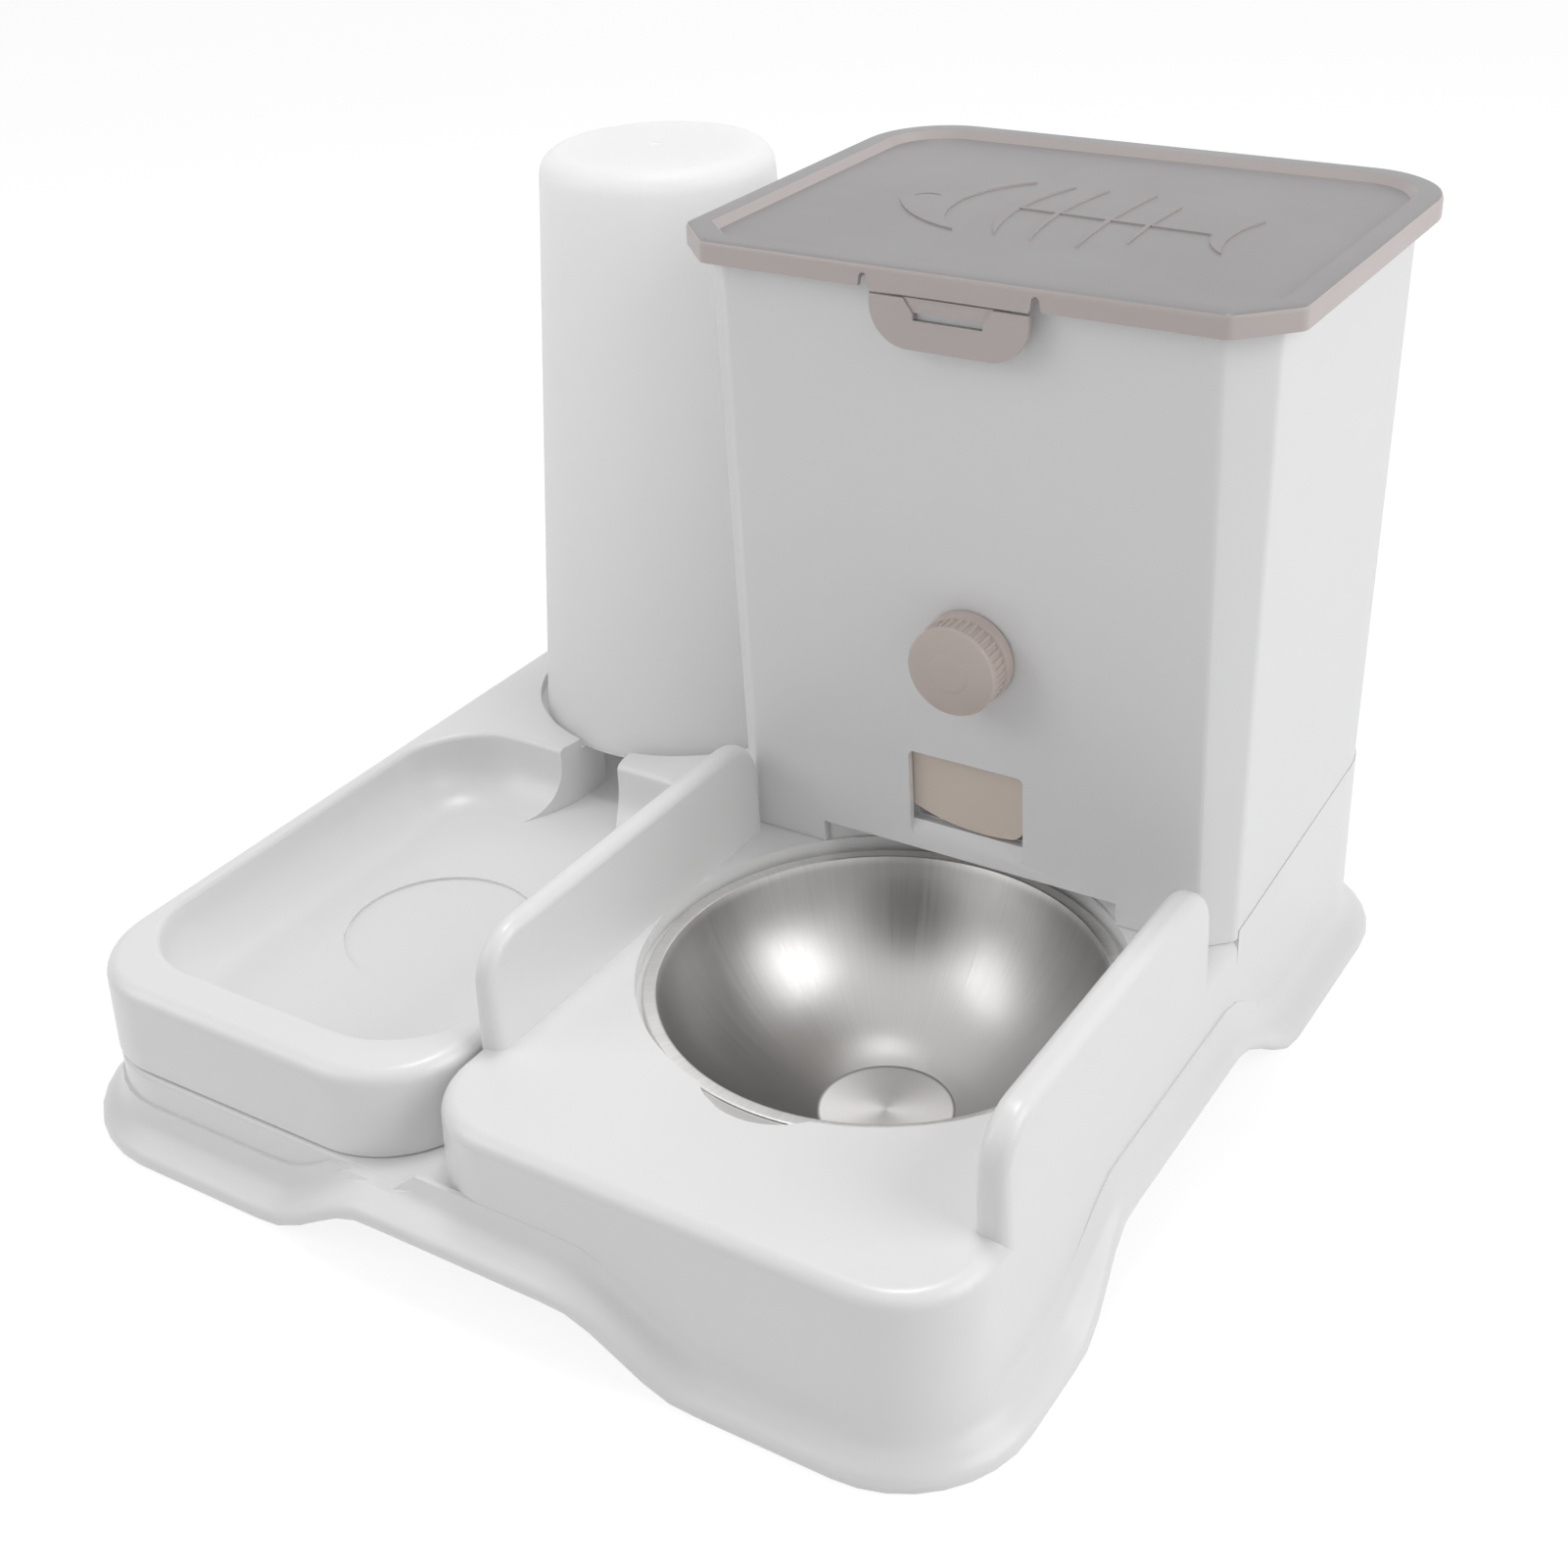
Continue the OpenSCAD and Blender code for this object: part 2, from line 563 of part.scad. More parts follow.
module hop_solid(z0, z1, t) {
    hull() {
        translate([0, 0, z0]) linear_extrude(0.01) polygon(hop_plan(z0, t));
        translate([0, 0, z1 - 0.01]) linear_extrude(0.01) polygon(hop_plan(z1, t));
    }
}

// Puts what follows on the leaning front wall: x across, y into the hopper, z up the wall.
module on_front() {
    translate([0, hop_y0, hop_z0]) rotate([lean, 0, 0]) children();
}

// The space over the sloped floor, whose front edge is at the window; d lowers it.
module over_floor(d) {
    translate([0, hop_y0, hop_z0 + win_w0 - d]) intersection() {
        rotate([floor_slope, 0, 0]) translate([-big / 2, -big / 4, 0]) cube([big, big, big]);
        rotate([0, -30, 0]) translate([-big / 2, -big / 2, -12]) cube([big, 2 * big, big]);
        rotate([0, 30, 0]) translate([-big / 2, -big / 2, -12]) cube([big, 2 * big, big]);
    }
    // level sill that the gate comes down on
    on_front() translate([-gate_x - 0.9 - d, -1, win_w0 - 0.5 - d])
        cube([2 * (gate_x + 0.9 + d), hop_t + 4.3 + d, 40]);
}

module hopper() centred() color([0.86, 0.88, 0.9, 0.8]) {
    difference() {
        hop_solid(hop_z0 - 4, hop_z1, 0);
        // store for the food
        intersection() {
            hop_solid(hop_z0 - 4, hop_z1 + 1, hop_t);
            over_floor(0);
        }
        // empty space under the floor
        difference() {
            hop_solid(hop_z0 - 5, hop_z1 - 4, hop_t);
            over_floor(hop_t);
        }
        // the walls stand on the base: low at the front corners, on the sloping seam elsewhere
        translate([-big / 2, -big / 2, 0]) cube([big, big, hop_z0]);
        difference() {
            translate([-big / 2, seam_y, 0]) cube([big, big, 90]);
            above_seam(0);
        }
        // opening over the bowl
        translate([-mouth_x, hop_y0 - 20, hop_z0 - 10]) cube([2 * mouth_x - 0.8, 26, 17.5]);
        // outlet window
        on_front() {
            rounded_slot(-win_x, win_x, win_w0, win_w1, 2, -5, hop_t + 6);
            intersection() {
                rounded_slot(-win_x, win_x, sill_w, win_w1, 2.2, -5, hop_t);
                translate([-win_x - 1, 0, 0]) rotate([90, 0, 90]) linear_extrude(2 * win_x + 2)
                    polygon([[0, sill_w], [hop_t, win_w0], [hop_t, win_w0 + 5],
                        [-1, win_w0 + 5], [-1, sill_w]]);
            }
        }
        // bore of the knob's shaft
        on_front() translate([knob_x, -5, knob_w]) rotate([-90, 0, 0])
            cylinder(r = 3 + run_gap, h = 12, $fn = 48);
        // screw pilot holes
        on_front() for (x = [-screw_x, screw_x], w = screw_w)
            translate([x, hop_t - 0.9, w]) rotate([-90, 0, 0]) cylinder(r = 1.35, h = 12, $fn = 24);
    }
    on_front() {
        // bosses that the cover is screwed to
        for (x = [-screw_x, screw_x], w = screw_w) difference() {
            translate([x, hop_t - 0.5, w]) rotate([-90, 0, 0]) cylinder(r = 3.4, h = 5.1, $fn = 32);
            translate([x, hop_t - 0.6, w]) rotate([-90, 0, 0]) cylinder(r = 1.35, h = 6, $fn = 24);
        }
        // side guides of the gate below the cover
        for (s = [-1, 1]) {
            translate([s * (gate_x + 2) - 1.5, hop_t - 0.4, win_w0 - 2])
                cube([3, 3.9, cover_w0 - win_w0 + 0.4]);
            translate([s * (gate_x + 1) - 2.5, hop_t + 3.1, win_w0 - 2])
                cube([5, 1.4, cover_w0 - win_w0 + 0.4]);
        }
    }
    // catch bar that the latch flap snaps over
    translate([-9.8, flap_y + flap_t / 2 + 0.3, flap_z - 5.6]) cube([19.6, 5, 2.8]);
    // hinge lugs on the rear wall
    for (s = [-1, 1], dx = [29.7, 44.3]) hop_lug(s > 0 ? dx : -dx - 6);
}

module hop_lug(x) {
    difference() {
        union() {
            translate([x, hinge_y, hinge_z]) rotate([0, 90, 0]) cylinder(r = 3.2, h = 6, $fn = 40);
            translate([x, hop_y1 - 1.5, hinge_z - 3.2]) cube([6, hinge_y - hop_y1 + 1.5, 6.4]);
        }
        translate([x - 1, hinge_y, hinge_z]) rotate([0, 90, 0]) cylinder(r = 1.65, h = 8, $fn = 32);
    }
}

// A window with rounded corners through the front wall.
module rounded_slot(x0, x1, w0, w1, r, y0, y1) {
    translate([0, y1, 0]) rotate([90, 0, 0]) linear_extrude(y1 - y0) {
        translate([x0 + r, w0]) square([x1 - x0 - 2 * r, w1 - w0]);
        translate([x0, w0 + r]) square([x1 - x0, w1 - w0 - 2 * r]);
        for (x = [x0 + r, x1 - r], w = [w0 + r, w1 - r]) translate([x, w]) circle(r = r, $fn = 32);
    }
}

// Cover over rack and pinion; it also guides the gate.
module gear_cover() centred() color([0.88, 0.89, 0.9]) {
    on_front() difference() {
        union() {
            translate([-gate_x - 5.5, hop_t + 0.1, cover_w0])
                cube([2 * gate_x + 11, 8.2, cover_w1 - cover_w0]);
            for (s = [-1, 1], w = screw_w) {
                translate([s * screw_x, hop_t + 4.7, w]) rotate([-90, 0, 0])
                    cylinder(r = 3.6, h = 1.8, $fn = 32);
                translate([s > 0 ? screw_x - 7 : -screw_x, hop_t + 4.7, w - 3]) cube([7, 1.8, 6]);
            }
        }
        translate([-gate_x - 0.4, hop_t - 1, cover_w0 - 1])
            cube([2 * gate_x + 0.8, 4.1, cover_w1 - cover_w0 - 0.8]);
        translate([-gate_x + 2.4, hop_t - 1, cover_w0 + 2])
            cube([2 * gate_x - 4.8, 7.6, cover_w1 - cover_w0 - 4]);
        for (x = [-screw_x, screw_x], w = screw_w)
            translate([x, hop_t, w]) rotate([-90, 0, 0]) cylinder(r = 1.7, h = 12, $fn = 24);
    }
}

module cover_screws() centred() color([0.6, 0.6, 0.6]) {
    on_front() for (x = [-screw_x, screw_x], w = screw_w) translate([x, 0, w]) difference() {
        union() {
            translate([0, hop_t - 0.4, 0]) rotate([-90, 0, 0]) cylinder(r = 1.3, h = 7.4, $fn = 24);
            translate([0, hop_t + 6.6, 0]) rotate([-90, 0, 0]) cylinder(r = 2.8, h = 1.8, $fn = 32);
        }
        translate([-0.4, hop_t + 7.6, -2]) cube([0.8, 2, 4]);
        translate([-2, hop_t + 7.6, -0.4]) cube([4, 2, 0.8]);
    }
}

// Sliding plate that closes the window, with a toothed slot.
module outlet_gate() centred() color([0.66, 0.6, 0.54, 0.85]) {
    pitch = PI * gear_m;
    xr = knob_x - pitch_r;
    on_front() translate([0, hop_t + 0.5, 0]) translate([0, 2.1, 0]) rotate([90, 0, 0]) linear_extrude(2.1) {
        difference() {
            union() {
                translate([-gate_x, win_w1 + 2.4]) square([2 * gate_x, gate_w1 - win_w1 - 2.4]);
                // curved lower edge, with a rounded corner on the right
                intersection() {
                    translate([4, gate_w0 + gate_arc]) circle(r = gate_arc, $fn = 128);
                    union() {
                        translate([-gate_x, gate_w0]) square([gate_x + gate_side - 6, win_w1 + 3 - gate_w0]);
                        translate([0, gate_w0 + 6.6]) square([gate_side, win_w1 - 3.6 - gate_w0]);
                        translate([gate_side - 6, gate_w0 + 6.6]) circle(r = 6, $fn = 48);
                    }
                }
            }
            translate([xr - 1.3, slot_w0]) square([2 * pitch_r + 4.6, slot_w1 - slot_w0]);
        }
        // one rack tooth faces the knob's axis, where the pinion has a gap
        for (i = [-10 : 3]) translate([xr, knob_w + i * pitch])
            polygon([[-1.5, -0.84], [0.7, -0.28], [0.7, 0.28], [-1.5, 0.84]]);
    }
}

module drive_pinion() centred() color([0.82, 0.82, 0.8]) {
    on_front() translate([knob_x, hop_t + 0.6, knob_w]) rotate([-90, 0, 0]) difference() {
        union() {
            cylinder(r = pitch_r - 1.15, h = 1.9, $fn = 64);
            for (i = [0 : teeth - 1]) rotate([0, 0, (i + 0.5) * 360 / teeth])
                linear_extrude(1.9) polygon([[6, -0.95], [pitch_r - 1.1, -0.8], [pitch_r + 0.75, -0.3],
                    [pitch_r + 0.75, 0.3], [pitch_r - 1.1, 0.8], [6, 0.95]]);
            translate([0, 0, 1.8]) cylinder(r = 4.4, h = 1.4, $fn = 48);
        }
        translate([0, 0, -1]) intersection() {
            cylinder(r = 2.3, h = 6, $fn = 48);
            translate([-3, -1.9, 0]) cube([6, 6, 6]);
        }
    }
}

module knob() centred() color([0.7, 0.64, 0.6, 0.9]) {
    on_front() translate([knob_x, 0, knob_w]) rotate([-90, 0, 0]) {
        difference() {
            union() {
                rotate_extrude($fn = 72) polygon([[0, -0.6], [knob_r + 0.2, -0.6], [knob_r + 0.2, -4.6],
                    [knob_r - 0.7, -5], [knob_r - 0.7, -knob_l + 2.6], [knob_r - 0.1, -knob_l + 2.2],
                    [knob_r - 0.1, -knob_l + 1.3], [knob_r - 0.5, -knob_l + 0.7],
                    [knob_r - 1.2, -knob_l + 0.5], [knob_r - 3, -knob_l + 0.1], [knob_r - 6, -knob_l - 0.3], [5.9, -knob_l - 0.45],
                    [5.6, -knob_l - 0.65], [2.5, -knob_l - 0.75], [0, -knob_l - 0.8]]);
                for (i = [0 : knob_ribs - 1]) rotate([0, 0, i * 360 / knob_ribs])
                    translate([knob_r - 0.75, 0, -knob_l + 2.3])
                        cylinder(r = 0.62, h = knob_l - 6.7, $fn = 16);
            }
            difference() {
                translate([0, 0, -knob_l + 2]) cylinder(r = knob_r - 2.2, h = knob_l, $fn = 64);
                translate([0, 0, -knob_l - 1]) cylinder(r = 4.6, h = knob_l + 0.4, $fn = 48);
            }
        }
        // shaft through the wall, with a flat for the pinion
        translate([0, 0, -2]) cylinder(r = 3, h = 2 + hop_t + 0.3, $fn = 48);
        intersection() {
            translate([0, 0, -2]) cylinder(r = 2.25, h = 2 + hop_t + 3.8, $fn = 48);
            translate([-3, -1.85, -3]) cube([6, 6, 12]);
        }
    }
}

module knob_seal() centred() color([0.3, 0.3, 0.3]) {
    on_front() translate([knob_x, -0.75, knob_w]) rotate([-90, 0, 0])
        rotate_extrude($fn = 48) translate([7, 0]) circle(r = 0.7, $fn = 20);
}

module pinion_screw() centred() color([0.6, 0.6, 0.6]) {
    on_front() translate([knob_x, hop_t + 3.9, knob_w]) rotate([-90, 0, 0]) difference() {
        cylinder(r = 3, h = 1.5, $fn = 32);
        translate([-0.35, -2, 0.8]) cube([0.7, 4, 2]);
        translate([-2, -0.35, 0.8]) cube([4, 0.7, 2]);
    }
}

// Plan of the lid, drawn in by t.
function lid_plan(t) = let (
        c = lid_c - 0.586 * t,
        x = lid_x - t,
        y0 = lid_y0 + t,
        y1 = lid_y1 - t,
        r = lid_r - t,
        q = lid_er - t > 1 ? lid_er - t : 0)
    concat(arc(c - x + 0.414 * q, y0 + q, q, 225, 15, 45), arc(x - c - 0.414 * q, y0 + q, q, 270, 15, 45),
        arc(x - q, y0 + c + 0.414 * q, q, 315, 15, 45), arc(x - r, y1 - r, r, 0, 6, 90),
        arc(r - x, y1 - r, r, 90, 6, 90), arc(q - x, y0 + c + 0.414 * q, q, 180, 15, 45));

module lid_layer(z, t) {
    translate([0, 0, z]) linear_extrude(0.04) polygon(lid_plan(t));
}

// Centre of the circle through three points.
function middle(a, b, c) = let (
        d = 2 * (a[0] * (b[1] - c[1]) + b[0] * (c[1] - a[1]) + c[0] * (a[1] - b[1])),
        u = a * a,
        v = b * b,
        w = c * c)
    [(u * (b[1] - c[1]) + v * (c[1] - a[1]) + w * (a[1] - b[1])) / d,
        (u * (c[0] - b[0]) + v * (a[0] - c[0]) + w * (b[0] - a[0])) / d];

// Disc whose edge runs through three points.
module disc(a, b, c, h) {
    m = middle(a, b, c);
    translate([m[0], m[1], 0]) cylinder(r = norm(a - m), h = h, $fn = fine);
}

// Crescent from a to c; its outer edge runs through b and its inner edge through b + w.
module crescent(a, b, c, w, h) {
    difference() {
        disc(a, b, c, h);
        translate([0, 0, -1]) disc(a, b + w, c, h + 2);
    }
}

// Fish bone: head with its eye, ribs, spine and tail, raised above the panel.
module fish_bone(h) {
    difference() {
        intersection() {
            disc([-21.5, 89.6], [-41.6, 76.5], [-51.2, 59.5], h);
            disc([-51.2, 59.5], [-37, 43.6], [-22, 36.8], h);
        }
        translate([0, 0, -1]) disc([-21.5, 89.6], [-33.6, 62], [-22, 36.8], h + 2);
        translate([0, 0, h - 0.4]) crescent([-40.2, 64.6], [-45.4, 66.4], [-48.6, 61.8], [0.5, -1.1], 1);
    }
    crescent([-8.9, 89.7], [-16.5, 60], [-8.8, 36.6], [2.6, 0], h);
    crescent([1.6, 90.2], [-2.5, 63.8], [2.4, 35.6], [1.3, 0], h);
    crescent([16.3, 91], [13.4, 64], [16.8, 34.8], [1.3, 0], h);
    crescent([27.5, 82.2], [25.6, 63], [27.9, 43.4], [1.2, 0], h);
    crescent([54, 78], [46, 60], [54.2, 45], [4.6, 0], h);
    translate([-15.2, 63.6, 0]) rotate([0, 0, -2.5]) translate([0, -0.5, 0]) cube([60, 1, h]);
}

module lid() centred() color([0.64, 0.61, 0.61, 0.92]) {
    difference() {
        union() {
            difference() {
                hull() {
                    lid_layer(lid_z0, 0);
                    lid_layer(lid_z1 - 1.7, 0);
                    lid_layer(lid_z1 - 0.55, 0.5);
                    lid_layer(lid_z1 - 0.04, 1.7);
                }
                // sunk panel
                hull() {
                    lid_layer(lid_z1 + 0.2, rim_w - 0.1);
                    lid_layer(lid_z1 - sunk, rim_w + 1.9);
                }
                // space under the rim and under the panel
                hull() {
                    lid_layer(lid_z0 - 0.1, 1.8);
                    lid_layer(lid_z1 - sunk - 1.9, 1.8);
                }
            }
            // lip that sits inside the hopper, open at the rear
            difference() {
                translate([0, 0, lid_z0 - 1]) linear_extrude(3.4) polygon(lid_plan(lip_in));
                translate([0, 0, lid_z0 - 2]) linear_extrude(6) polygon(lid_plan(lip_in + 1.6));
                translate([-big / 2, hinge_y - 23, 200]) cube([big, big, 60]);
            }
            // the rim reaches lower above the latch flap
            translate([-23.4, lid_y0, lid_z0 - 0.7]) cube([46.8, 1.8, 3]);
        }
        // notches at both ends of the latch flap
        for (s = [-1, 1]) translate([s * 25.4, lid_y0 + 6, lid_z0 + 2.6]) rotate([90, 0, 0]) {
            cylinder(r = 1.25, h = 12, $fn = 24);
            linear_extrude(12) polygon([[-1.25, 0], [-1.9, -4], [1.9, -4], [1.25, 0]]);
        }
        // clearance for the hopper's hinge lugs
        for (s = [-1, 1]) translate([s > 0 ? 28.5 : -51.5, hinge_y - 3.8, lid_z0 - 1])
            cube([23, 10, lid_z1 - sunk - 0.9 - lid_z0]);
    }
    translate([0, 0, lid_z1 - sunk - 0.5]) fish_bone(0.5 + fish_h);
    for (s = [-1, 1]) lid_lug(s * 40 - 4);
}

module lid_lug(x) {
    difference() {
        union() {
            translate([x, hinge_y, hinge_z]) rotate([0, 90, 0]) cylinder(r = 3.2, h = 8, $fn = 40);
            translate([x, hinge_y - 3.2, hinge_z]) cube([8, 5.3, lid_z1 - 1.9 - hinge_z]);
        }
        translate([x - 1, hinge_y, hinge_z]) rotate([0, 90, 0]) cylinder(r = 1.6 + run_gap, h = 10, $fn = 32);
    }
}

module lid_hinge_pins() centred() color([0.7, 0.7, 0.7]) {
    for (s = [-1, 1]) translate([s * 40 - 11, hinge_y, hinge_z]) rotate([0, 90, 0])
        cylinder(r = 1.6, h = 22, $fn = 32);
}

// Front tab under the rim, which snaps over the catch bar; its round upper edge turns on the hinge axis.
module latch_flap() centred() color([0.68, 0.62, 0.6, 0.92]) {
    difference() {
        union() {
            translate([-23.6, flap_y, flap_z]) rotate([0, 90, 0])
                cylinder(r = flap_t / 2, h = 47.2, $fn = 40);
            translate([0, flap_y + flap_t / 2, flap_z]) rotate([90, 0, 0])
                linear_extrude(flap_t) difference() {
                union() {
                    translate([-23.6, -2.6]) square([47.2, 2.6]);
                    translate([-12.2, -13.4]) square([24.4, 13.4]);
                    for (x = [-12.2, 12.2]) translate([x, -2]) circle(r = 11.4, $fn = 64);
                }
                translate([-10.4, -5.2]) square([20.8, 2]);
                translate([-30, 0]) square([60, 20]);
            }
        }
        // shallow funnel above the slot
        translate([0, flap_y - flap_t / 2 + 0.6, flap_z]) rotate([90, 0, 0]) linear_extrude(2)
            polygon([[-10.4, -3.4], [10.4, -3.4], [13.6, 0.95], [-13.6, 0.95]]);
    }
}

base();
rubber_feet();
food_bowl();
water_tray();
water_bottle();
bottle_cap();
cap_gasket();
valve_poppet();
poppet_seal();
hopper();
gear_cover();
cover_screws();
outlet_gate();
knob();
knob_seal();
drive_pinion();
pinion_screw();
lid();
lid_hinge_pins();
latch_flap();
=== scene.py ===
import math

import bmesh
import bpy
from mathutils import Matrix, Vector


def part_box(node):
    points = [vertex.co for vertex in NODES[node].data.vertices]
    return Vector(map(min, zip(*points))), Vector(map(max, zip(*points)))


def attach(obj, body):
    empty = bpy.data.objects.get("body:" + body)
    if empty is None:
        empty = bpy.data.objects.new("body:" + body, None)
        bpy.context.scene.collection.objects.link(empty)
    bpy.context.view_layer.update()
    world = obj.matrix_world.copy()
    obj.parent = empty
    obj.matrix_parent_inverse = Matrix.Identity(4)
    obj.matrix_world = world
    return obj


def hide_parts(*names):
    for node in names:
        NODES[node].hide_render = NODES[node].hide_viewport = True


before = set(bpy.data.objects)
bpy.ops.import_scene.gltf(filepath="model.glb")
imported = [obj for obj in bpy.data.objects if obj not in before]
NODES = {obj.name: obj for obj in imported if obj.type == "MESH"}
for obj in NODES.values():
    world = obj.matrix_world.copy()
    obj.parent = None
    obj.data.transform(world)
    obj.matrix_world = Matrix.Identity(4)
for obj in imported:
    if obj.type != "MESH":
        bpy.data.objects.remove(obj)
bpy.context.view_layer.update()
for plain in list(bpy.data.materials):
    bpy.data.materials.remove(plain)

# The CAD source's working frame, in mm, has the bowl's axis at x = 0, y = BOWL_Y.
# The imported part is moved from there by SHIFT.
BOWL_Y = -47.4
low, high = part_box("food_bowl")
SHIFT = Vector(((low[0] + high[0]) * 500, (low[1] + high[1]) * 500 - BOWL_Y, 0.0))

# The bowl's sizes in mm, as in the CAD source: heights of brim and floor, radii of mouth, brim and
# bottom disc, and the thickness of the sheet.
BRIM_Z = 50.4
FLOOR_Z = 1.8
BOWL_R = 66.3
BRIM_R = 70.8
DISC_R = 20.5
SHEET = 0.8

# The bowl's wall is a part of a sphere through the disc's edge and the mouth.
DOME_Z = (BOWL_R ** 2 + BRIM_Z ** 2 - DISC_R ** 2 - FLOOR_Z ** 2) / (2 * (BRIM_Z - FLOOR_Z))
DOME_R = math.hypot(DISC_R, FLOOR_Z - DOME_Z)
WALL_STEPS = 40
BOWL_TURNS = 192
MERGE = 0.00001
SHARP_EDGE = math.radians(10)

# Faces of a CAD node that meet at more than this angle keep a sharp edge between them.
SPLIT_ANGLE = math.radians(32)
WELD = 0.000002

# A noise texture's values lie mostly between these two.
NOISE_LOW = 0.3
NOISE_HIGH = 0.7

# Scales of the plastic's uneven gloss, of its grain and of the painted light on the smoky plastic's edges,
# and the grain's height in metres.
GLOSS_SCALE = 38
GRAIN_SCALE = 2600
PAINTED_LIGHT_SCALE = 14
GRAIN_HEIGHT = 0.00004

# Limits of roughness. None starts lower, because renders with less showed blotches on the pale plastic.
SATIN = (0.285, 0.33)
TOUCHED = (0.285, 0.34)
STEEL_ROUGH = (0.285, 0.38)

# How far a face's normal points up where the smoky plastic's own dark top tone starts and where it is full;
# faces that point less far up get painted light.
TOP_STARTS = 0.45
TOP_FULL = 0.95

# Steel: scale of the screws' noise, the brush lines' scale round and up the bowl, and their height in metres.
SCREW_SCALE = 60
LINE_SCALE = (60, 1, 14)
LINE_HEIGHT = 0.00003
LINE_BUMP = 0.25
LINE_DETAIL = 5
LINE_ROUGH = 0.7
STREAKS = [(0.25, (0.88, 0.865, 0.85)), (0.75, (1.0, 0.985, 0.97))]
BRUSHED = 0.45

# Tones of the bowl by radius, where the bottom disc and the brim are brighter as a painted reflection, and
# the reach in mm over which the radius goes from 0 to 1.
REACH = 75.0
DISC_PAINTED_REFLECTION = (1.0, 1.0, 1.0)
WALL_TONE = (0.57, 0.57, 0.57)
BRIM_PAINTED_REFLECTION = (0.85, 0.85, 0.85)
DISC_INNER = (DISC_R - 0.55) / REACH
DISC_OUTER = (DISC_R + 0.2) / REACH
MOUTH_INNER = (BOWL_R - 0.75) / REACH
MOUTH_OUTER = BOWL_R / REACH
DISC_DULL = 0.22

# Floor: half its side in metres, and its tones for light and for rays that show the background.
FLOOR_HALF = 6
FLOOR_GREY = (0.8, 0.8, 0.8, 1)
FLOOR_SEEN = (0.22, 0.22, 0.22, 1)
FLOOR_GLOW = 0.86
WHITE_LIGHT = (1, 1, 1, 1)

# World: its strength as light, and the dark patch that reflections show: where it lies, the cosines
# at its edge and at its core, and its depth.
WORLD_LIGHT = 0.415
PATCH_AIM = (0.24, -0.896, 0.375)
PATCH_EDGE = 0.84
PATCH_CORE = 0.97
PATCH_DEPTH = 0.85

# Lamps: name, place and size in metres, and power in watts.
LAMP_TARGET = Vector((0, 0, 0.1))
LAMPS = [
    ("key_right", (1.5, 0.2, 1.0), (1.2, 1.2), 12.0),
    ("top_soft", (-0.03, 0.19, 1.3), (0.34, 0.3), 4.8),
    ("fill_left", (-1.1, -1.0, 1.0), (1.0, 1.0), 5.6),
]

# Camera, fitted to the photograph: place in the working frame, angles in degrees, lens and sensor in mm.
CAMERA_PLACE = (259.27, -490.30, 416.80)
YAW = math.radians(33.28)
PITCH = math.radians(30.29)
ROLL = math.radians(-2.68)
LENS = 49.376
SENSOR = 36.0
NEAREST = 0.01
FURTHEST = 50.0


def mm(x, y, z):
    """A point of the working frame in metres of the shared frame."""
    return (Vector((x, y, z)) + SHIFT) / 1000


# Building blocks for the materials

def new_material(name):
    mat = bpy.data.materials.new(name)
    mat.use_nodes = True
    tree = mat.node_tree
    tree.nodes.clear()
    out = tree.nodes.new("ShaderNodeOutputMaterial")
    return mat, tree, out


def node(tree, kind, **inputs):
    """A shader node with plain values on its inputs."""
    n = tree.nodes.new(kind)
    for key, value in inputs.items():
        n.inputs[key].default_value = value
    return n


def coords(tree):
    return tree.nodes.new("ShaderNodeTexCoord").outputs["Object"]


def ramp(tree, source, stops):
    """A colour ramp over (position, colour) stops."""
    r = tree.nodes.new("ShaderNodeValToRGB")
    first, last = r.color_ramp.elements
    first.position, first.color = stops[0][0], (*stops[0][1], 1)
    last.position, last.color = stops[-1][0], (*stops[-1][1], 1)
    for place, colour in stops[1:-1]:
        r.color_ramp.elements.new(place).color = (*colour, 1)
    tree.links.new(source, r.inputs["Fac"])
    return r.outputs["Color"]


def noise(tree, vec, scale, detail, rough=0.5):
    n = node(tree, "ShaderNodeTexNoise", Scale=scale, Detail=detail, Roughness=rough)
    tree.links.new(vec, n.inputs["Vector"])
    return n.outputs["Fac"]


def map_range(tree, source, start, end, smooth=False):
    """Maps the source's range start to the range end, each a pair of values."""
    m = tree.nodes.new("ShaderNodeMapRange")
    if smooth:
        m.interpolation_type = "SMOOTHSTEP"
    m.inputs["From Min"].default_value, m.inputs["From Max"].default_value = start
    m.inputs["To Min"].default_value, m.inputs["To Max"].default_value = end
    tree.links.new(source, m.inputs["Value"])
    return m.outputs["Result"]


def spread(tree, source, limits):
    """Spreads a noise over the given limits."""
    return map_range(tree, source, (NOISE_LOW, NOISE_HIGH), limits)


def calculate(tree, operation, first, second):
    """A Math node whose two inputs are sockets or plain numbers."""
    n = tree.nodes.new("ShaderNodeMath")
    n.operation = operation
    for place, value in zip(n.inputs, (first, second)):
        if isinstance(value, (int, float)):
            place.default_value = value
        else:
            tree.links.new(value, place)
    return n.outputs[0]


def blend(tree, factor, first, second, kind="MIX"):
    """Mixes two colours; the factor is a socket or a plain number."""
    m = tree.nodes.new("ShaderNodeMix")
    m.data_type, m.blend_type = "RGBA", kind
    if isinstance(factor, (int, float)):
        m.inputs[0].default_value = factor
    else:
        tree.links.new(factor, m.inputs[0])
    tree.links.new(first, m.inputs[6])
    tree.links.new(second, m.inputs[7])
    return m.outputs[2]


def mix_shader(tree, factor, first, second):
    """Mixes two shaders; the factor is a socket or a plain number."""
    m = tree.nodes.new("ShaderNodeMixShader")
    if isinstance(factor, (int, float)):
        m.inputs["Fac"].default_value = factor
    else:
        tree.links.new(factor, m.inputs["Fac"])
    tree.links.new(first, m.inputs[1])
    tree.links.new(second, m.inputs[2])
    return m.outputs["Shader"]


